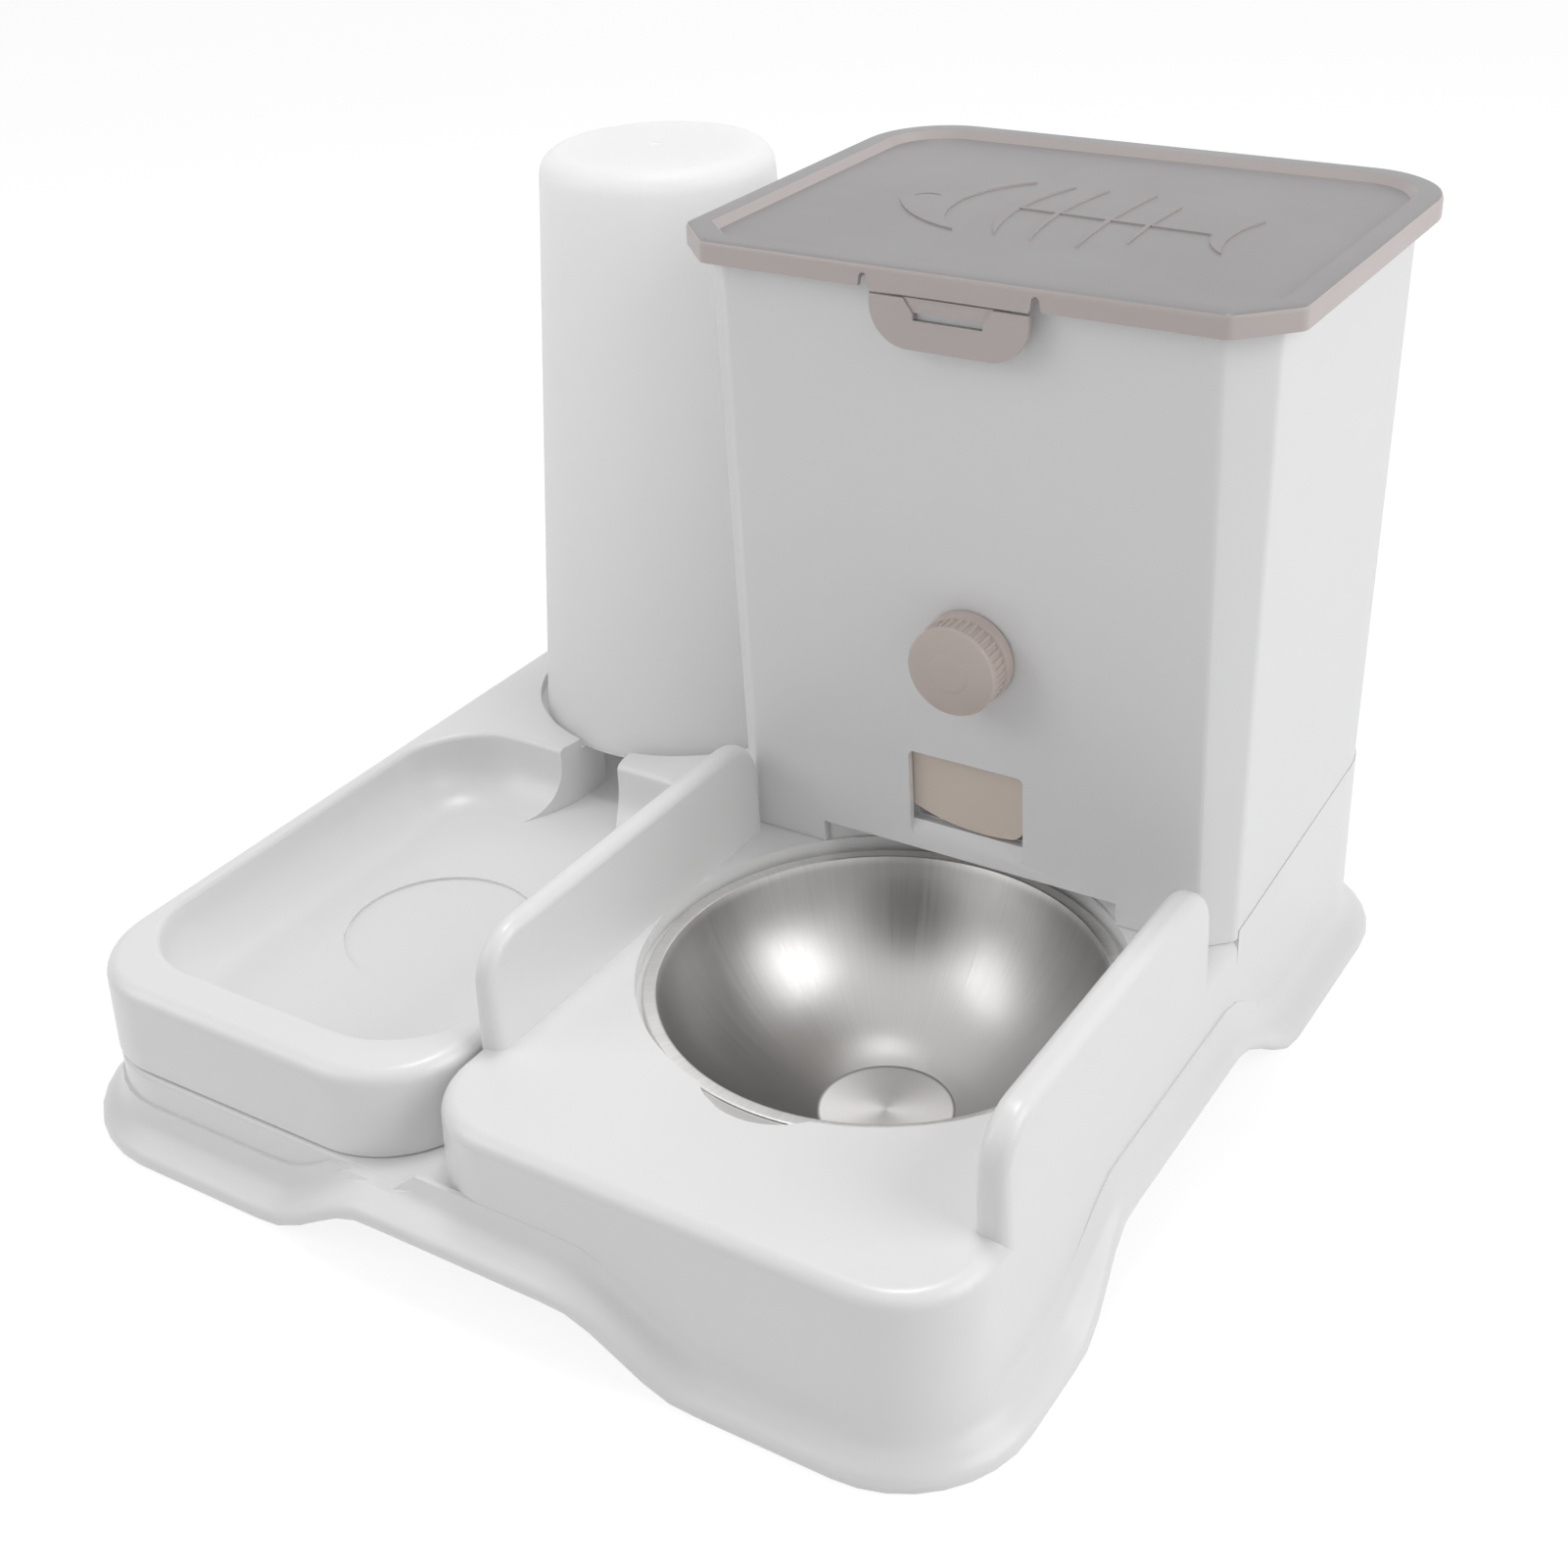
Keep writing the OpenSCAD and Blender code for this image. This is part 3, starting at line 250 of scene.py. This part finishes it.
def bump(tree, source, strength, distance):
    b = node(tree, "ShaderNodeBump", Strength=strength, Distance=distance)
    tree.links.new(source, b.inputs["Height"])
    return b.outputs["Normal"]


# Materials

def plastic(name, dark, light, rough, grain=0.0, through=0.0, tint=None, patch=9.0):
    """Moulded plastic: mottled colour and uneven gloss, and where asked a grain or some light let through."""
    mat, tree, out = new_material(name)
    vec = coords(tree)
    p = tree.nodes.new("ShaderNodeBsdfPrincipled")
    mottle = ramp(tree, noise(tree, vec, patch, 3), [(NOISE_LOW, dark), (NOISE_HIGH, light)])
    tree.links.new(mottle, p.inputs["Base Color"])
    tree.links.new(spread(tree, noise(tree, vec, GLOSS_SCALE, 4), rough), p.inputs["Roughness"])
    if grain:
        fine = noise(tree, vec, GRAIN_SCALE, 3, 0.6)
        tree.links.new(bump(tree, fine, grain, GRAIN_HEIGHT), p.inputs["Normal"])
    last = p.outputs["BSDF"]
    if through:
        t = node(tree, "ShaderNodeBsdfTranslucent", Color=(*(tint or light), 1))
        last = mix_shader(tree, through, last, t.outputs["BSDF"])
    tree.links.new(last, out.inputs["Surface"])
    return mat


def smoky_with_painted_light(name, up, painted_light_tones, rough, through, tint):
    """Smoky plastic: flat tops in its own dark tone; edges and upright faces get a lighter, warmer tone,
    which is painted light.
    """
    mat = plastic(name, up[0], up[1], rough, through=through, tint=tint)
    tree = mat.node_tree
    p = next(n for n in tree.nodes if n.type == "BSDF_PRINCIPLED")
    top = p.inputs["Base Color"].links[0].from_socket
    # Painted light: edges and upright faces get a lighter, warmer tone than the flat tops.
    painted_light_noise = noise(tree, coords(tree), PAINTED_LIGHT_SCALE, 3)
    edge = ramp(tree, painted_light_noise, [(NOISE_LOW, painted_light_tones[0]), (NOISE_HIGH, painted_light_tones[1])])
    split = tree.nodes.new("ShaderNodeSeparateXYZ")
    tree.links.new(tree.nodes.new("ShaderNodeTexCoord").outputs["Normal"], split.inputs[0])
    faces_up = map_range(tree, split.outputs["Z"], (TOP_STARTS, TOP_FULL), (0.0, 1.0))
    tree.links.new(blend(tree, faces_up, edge, top), p.inputs["Base Color"])
    return mat


def screw_metal(name, dark, light, rough):
    mat, tree, out = new_material(name)
    p = node(tree, "ShaderNodeBsdfPrincipled", Metallic=1)
    fine = noise(tree, coords(tree), SCREW_SCALE, 4)
    tree.links.new(ramp(tree, fine, [(NOISE_LOW, dark), (NOISE_HIGH, light)]), p.inputs["Base Color"])
    tree.links.new(spread(tree, fine, rough), p.inputs["Roughness"])
    tree.links.new(p.outputs["BSDF"], out.inputs["Surface"])
    return mat


def brush_lines(tree, place):
    """Fine noise stretched down the bowl's wall, from the angle round the axis and the height."""
    split = tree.nodes.new("ShaderNodeSeparateXYZ")
    tree.links.new(place, split.inputs[0])
    turn = calculate(tree, "ARCTAN2", split.outputs["Y"], split.outputs["X"])
    join = tree.nodes.new("ShaderNodeCombineXYZ")
    tree.links.new(turn, join.inputs["X"])
    tree.links.new(split.outputs["Z"], join.inputs["Z"])
    stretch = node(tree, "ShaderNodeMapping", Scale=LINE_SCALE)
    tree.links.new(join.outputs[0], stretch.inputs["Vector"])
    return noise(tree, stretch.outputs["Vector"], 1.0, LINE_DETAIL, LINE_ROUGH)


def axis_distance(tree, place):
    """Distance from the bowl's axis, 1 at REACH."""
    flat = tree.nodes.new("ShaderNodeVectorMath")
    flat.operation = "MULTIPLY"
    flat.inputs[1].default_value = (1000 / REACH, 1000 / REACH, 0)
    tree.links.new(place, flat.inputs[0])
    length = tree.nodes.new("ShaderNodeVectorMath")
    length.operation = "LENGTH"
    tree.links.new(flat.outputs["Vector"], length.inputs[0])
    return length.outputs["Value"]


def brushed_bowl():
    """Pressed steel with fine brush lines that run down the wall, and a bottom disc and brim painted brighter
    as a painted reflection.
    """
    mat, tree, out = new_material("steel")
    place = coords(tree)
    lines = brush_lines(tree, place)
    radius = axis_distance(tree, place)
    p = node(tree, "ShaderNodeBsdfPrincipled", Metallic=1, Anisotropic=BRUSHED)
    round_z = tree.nodes.new("ShaderNodeTangent")
    round_z.direction_type, round_z.axis = "RADIAL", "Z"
    tree.links.new(round_z.outputs[0], p.inputs["Tangent"])
    streaks = ramp(tree, lines, STREAKS)
    # Painted reflection: the bottom disc and the brim are given brighter tones than the wall.
    painted_reflection_rings = ramp(tree, radius, [(0.0, DISC_PAINTED_REFLECTION), (DISC_INNER, DISC_PAINTED_REFLECTION), (DISC_OUTER, WALL_TONE),
                                (MOUTH_INNER, WALL_TONE), (MOUTH_OUTER, BRIM_PAINTED_REFLECTION), (1.0, BRIM_PAINTED_REFLECTION)])
    tree.links.new(blend(tree, 1.0, painted_reflection_rings, streaks, "MULTIPLY"), p.inputs["Base Color"])
    dull = map_range(tree, radius, (DISC_INNER, DISC_OUTER), (DISC_DULL, 0.0))
    rough = calculate(tree, "ADD", spread(tree, lines, STEEL_ROUGH), dull)
    tree.links.new(rough, p.inputs["Roughness"])
    tree.links.new(bump(tree, lines, LINE_BUMP, LINE_HEIGHT), p.inputs["Normal"])
    tree.links.new(p.outputs["BSDF"], out.inputs["Surface"])
    return mat


WHITE = plastic("white_plastic", (0.80, 0.80, 0.80), (0.815, 0.815, 0.815), SATIN, patch=5)
HOPPER = plastic("hopper_plastic", (0.905, 0.907, 0.915), (0.92, 0.922, 0.93), SATIN,
                 through=0.12, tint=(0.94, 0.94, 0.94), patch=5)
BOTTLE = plastic("bottle_plastic", (0.95, 0.95, 0.95), (0.96, 0.96, 0.96), (0.38, 0.44),
                 through=0.6, tint=(0.97, 0.97, 0.97), patch=5)
# The lid's second tones, for edges and upright faces, are painted light.
LID = smoky_with_painted_light("lid_plastic", ((0.285, 0.275, 0.28), (0.30, 0.29, 0.295)),
               ((0.60, 0.54, 0.52), (0.63, 0.565, 0.545)), (0.3, 0.38), 0.12, (0.5, 0.46, 0.45))
KNOB = plastic("knob_plastic", (0.62, 0.535, 0.49), (0.65, 0.56, 0.515), TOUCHED, through=0.08)
TAN = plastic("tan_plastic", (0.74, 0.65, 0.575), (0.77, 0.675, 0.60), TOUCHED, through=0.04)
RUBBER = plastic("rubber_grey", (0.17, 0.17, 0.17), (0.2, 0.2, 0.2), (0.6, 0.75), grain=0.2)
SILICONE = plastic("silicone", (0.6, 0.6, 0.58), (0.64, 0.64, 0.62), (0.4, 0.5))
STEEL = brushed_bowl()
SCREW = screw_metal("screw_steel", (0.55, 0.55, 0.55), (0.62, 0.62, 0.62), TOUCHED)

LOOKS = {
    "base": WHITE, "rubber_feet": RUBBER, "food_bowl": STEEL, "water_tray": WHITE,
    "water_bottle": BOTTLE, "bottle_cap": WHITE, "cap_gasket": SILICONE, "valve_poppet": WHITE,
    "poppet_seal": SILICONE, "hopper": HOPPER, "gear_cover": WHITE, "cover_screws": SCREW,
    "outlet_gate": TAN, "knob": KNOB, "knob_seal": SILICONE, "drive_pinion": WHITE,
    "pinion_screw": SCREW, "lid": LID, "lid_hinge_pins": SCREW, "latch_flap": LID,
}


def dress(obj, mat):
    """Gives a CAD node its material and smooth shading with sharp edges kept."""
    obj.data.materials.clear()
    obj.data.materials.append(mat)
    for poly in obj.data.polygons:
        poly.use_smooth = True
    if "custom_normal" in obj.data.attributes:
        obj.data.attributes.remove(obj.data.attributes["custom_normal"])
    weld = obj.modifiers.new("weld", "WELD")
    weld.merge_threshold = WELD
    split = obj.modifiers.new("split", "EDGE_SPLIT")
    split.split_angle = SPLIT_ANGLE
    split.use_edge_sharp = False
    even = obj.modifiers.new("even", "WEIGHTED_NORMAL")
    even.keep_sharp = True


for name, obj in NODES.items():
    dress(obj, LOOKS[name])


# Turned bowl

def lathe(name, profile, turns, mat):
    """A closed profile of (radius, height) in mm, turned round the bowl's axis."""
    points, faces = [], []
    n = len(profile)
    for i in range(turns):
        a = 2 * math.pi * i / turns
        points += [(r * math.cos(a) / 1000, r * math.sin(a) / 1000, z / 1000) for r, z in profile]
    for i in range(turns):
        j = (i + 1) % turns
        faces += [(i * n + k, j * n + k, j * n + k + 1, i * n + k + 1) for k in range(n - 1)]
    data = bpy.data.meshes.new(name)
    data.from_pydata(points, [], faces)
    data.update()
    weld_mesh = bmesh.new()
    weld_mesh.from_mesh(data)
    bmesh.ops.remove_doubles(weld_mesh, verts=weld_mesh.verts, dist=MERGE)
    bmesh.ops.recalc_face_normals(weld_mesh, faces=weld_mesh.faces)
    for face in weld_mesh.faces:
        face.smooth = True
    for edge in weld_mesh.edges:
        if len(edge.link_faces) == 2 and edge.calc_face_angle() > SHARP_EDGE:
            edge.smooth = False
    weld_mesh.to_mesh(data)
    weld_mesh.free()
    data.materials.append(mat)
    obj = bpy.data.objects.new(name, data)
    bpy.context.scene.collection.objects.link(obj)
    obj.location = mm(0, BOWL_Y, 0)
    return obj


def wall(radius, r0, r1):
    """Points of the bowl's spherical wall from radius r0 to r1."""
    a0, a1 = math.asin(r0 / radius), math.asin(r1 / radius)
    angles = [a0 + (a1 - a0) * i / WALL_STEPS for i in range(WALL_STEPS + 1)]
    return [(radius * math.sin(a), DOME_Z - radius * math.cos(a)) for a in angles]


def bowl_profile():
    """Inside from the middle outwards, the rolled brim, and the outside back to the middle."""
    inside = [(0.0, FLOOR_Z), (8.0, FLOOR_Z), (DISC_R - 0.6, FLOOR_Z)]
    inside += wall(DOME_R, DISC_R + 0.5, BOWL_R - 0.6)
    brim = [(BOWL_R + 0.15, BRIM_Z - 0.12), (BOWL_R + 0.6, BRIM_Z), (BRIM_R - 1.4, BRIM_Z),
            (BRIM_R - 0.75, BRIM_Z - 0.03), (BRIM_R - 0.3, BRIM_Z - 0.25), (BRIM_R - 0.15, BRIM_Z - 0.65),
            (BRIM_R - 0.3, BRIM_Z - 1.05), (BRIM_R - 0.75, BRIM_Z - 1.35), (BRIM_R - 1.3, BRIM_Z - 1.2),
            (BRIM_R - 1.5, BRIM_Z - SHEET), (BOWL_R + 1.2, BRIM_Z - SHEET)]
    outside = wall(DOME_R + SHEET, DISC_R + 0.6, BOWL_R)[::-1]
    outside += [(DISC_R - 0.4, FLOOR_Z - SHEET), (0.0, FLOOR_Z - SHEET)]
    return inside + brim + outside


bowl = lathe("bowl_turned", bowl_profile(), BOWL_TURNS, STEEL)
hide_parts("food_bowl")
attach(bowl, "station")


# Floor and world

def background_factor(tree):
    """1 for rays that show the background: camera, glossy and transmission rays."""
    path = tree.nodes.new("ShaderNodeLightPath")
    one = calculate(tree, "MAXIMUM", path.outputs["Is Camera Ray"], path.outputs["Is Glossy Ray"])
    return calculate(tree, "MAXIMUM", one, path.outputs["Is Transmission Ray"])


def make_floor():
    h = FLOOR_HALF
    mesh = bpy.data.meshes.new("floor")
    mesh.from_pydata([(-h, -h, 0), (h, -h, 0), (h, h, 0), (-h, h, 0)], [], [(0, 1, 2, 3)])
    floor = bpy.data.objects.new("floor", mesh)
    bpy.context.scene.collection.objects.link(floor)
    mat, tree, out = new_material("floor_white")
    lit = node(tree, "ShaderNodeBsdfDiffuse", Color=FLOOR_GREY)
    seen = node(tree, "ShaderNodeBsdfDiffuse", Color=FLOOR_SEEN)
    glow = node(tree, "ShaderNodeEmission", Color=WHITE_LIGHT, Strength=FLOOR_GLOW)
    add = tree.nodes.new("ShaderNodeAddShader")
    tree.links.new(seen.outputs[0], add.inputs[0])
    tree.links.new(glow.outputs[0], add.inputs[1])
    both = mix_shader(tree, background_factor(tree), lit.outputs[0], add.outputs[0])
    tree.links.new(both, out.inputs["Surface"])
    mesh.materials.append(mat)


def dark_patch(tree):
    """A soft dark patch low in front, as where a camera stands, that only reflections show."""
    aim = tree.nodes.new("ShaderNodeTexCoord")
    dot = tree.nodes.new("ShaderNodeVectorMath")
    dot.operation = "DOT_PRODUCT"
    dot.inputs[1].default_value = PATCH_AIM
    tree.links.new(aim.outputs["Generated"], dot.inputs[0])
    patch = map_range(tree, dot.outputs["Value"], (PATCH_EDGE, PATCH_CORE), (0.0, PATCH_DEPTH), smooth=True)
    gloss = tree.nodes.new("ShaderNodeLightPath")
    return calculate(tree, "MULTIPLY", patch, gloss.outputs["Is Glossy Ray"])


def make_world():
    world = bpy.data.worlds.new("studio")
    bpy.context.scene.world = world
    world.use_nodes = True
    tree = world.node_tree
    tree.nodes.clear()
    out = tree.nodes.new("ShaderNodeOutputWorld")
    dim = node(tree, "ShaderNodeBackground", Color=WHITE_LIGHT, Strength=WORLD_LIGHT)
    white = node(tree, "ShaderNodeBackground", Color=WHITE_LIGHT)
    tree.links.new(calculate(tree, "SUBTRACT", 1.0, dark_patch(tree)), white.inputs["Strength"])
    both = mix_shader(tree, background_factor(tree), dim.outputs[0], white.outputs[0])
    tree.links.new(both, out.inputs["Surface"])


make_floor()
make_world()


# Lamps and camera

def lamp(name, place, size, power):
    data = bpy.data.lights.new(name, "AREA")
    data.shape = "RECTANGLE"
    data.size, data.size_y = size
    data.energy = power
    obj = bpy.data.objects.new(name, data)
    bpy.context.scene.collection.objects.link(obj)
    obj.location = place
    obj.rotation_mode = "QUATERNION"
    obj.rotation_quaternion = (LAMP_TARGET - Vector(place)).to_track_quat("-Z", "Y")


def make_camera():
    scene = bpy.context.scene
    data = bpy.data.cameras.new("camera")
    camera = bpy.data.objects.new("camera", data)
    scene.collection.objects.link(camera)
    scene.camera = camera
    data.sensor_width = SENSOR
    data.lens = LENS
    data.clip_start, data.clip_end = NEAREST, FURTHEST
    back = Vector((math.sin(YAW) * math.cos(PITCH), -math.cos(YAW) * math.cos(PITCH), math.sin(PITCH)))
    level = (-back).cross(Vector((0, 0, 1))).normalized()
    upright = back.cross(level)
    right = math.cos(ROLL) * level + math.sin(ROLL) * upright
    up = -math.sin(ROLL) * level + math.cos(ROLL) * upright
    axes = Matrix([[right[i], up[i], back[i]] for i in range(3)])
    camera.matrix_world = Matrix.Translation(mm(*CAMERA_PLACE)) @ axes.to_4x4()


for name, place, size, power in LAMPS:
    lamp(name, place, size, power)
make_camera()
bpy.context.scene.view_settings.view_transform = "Standard"
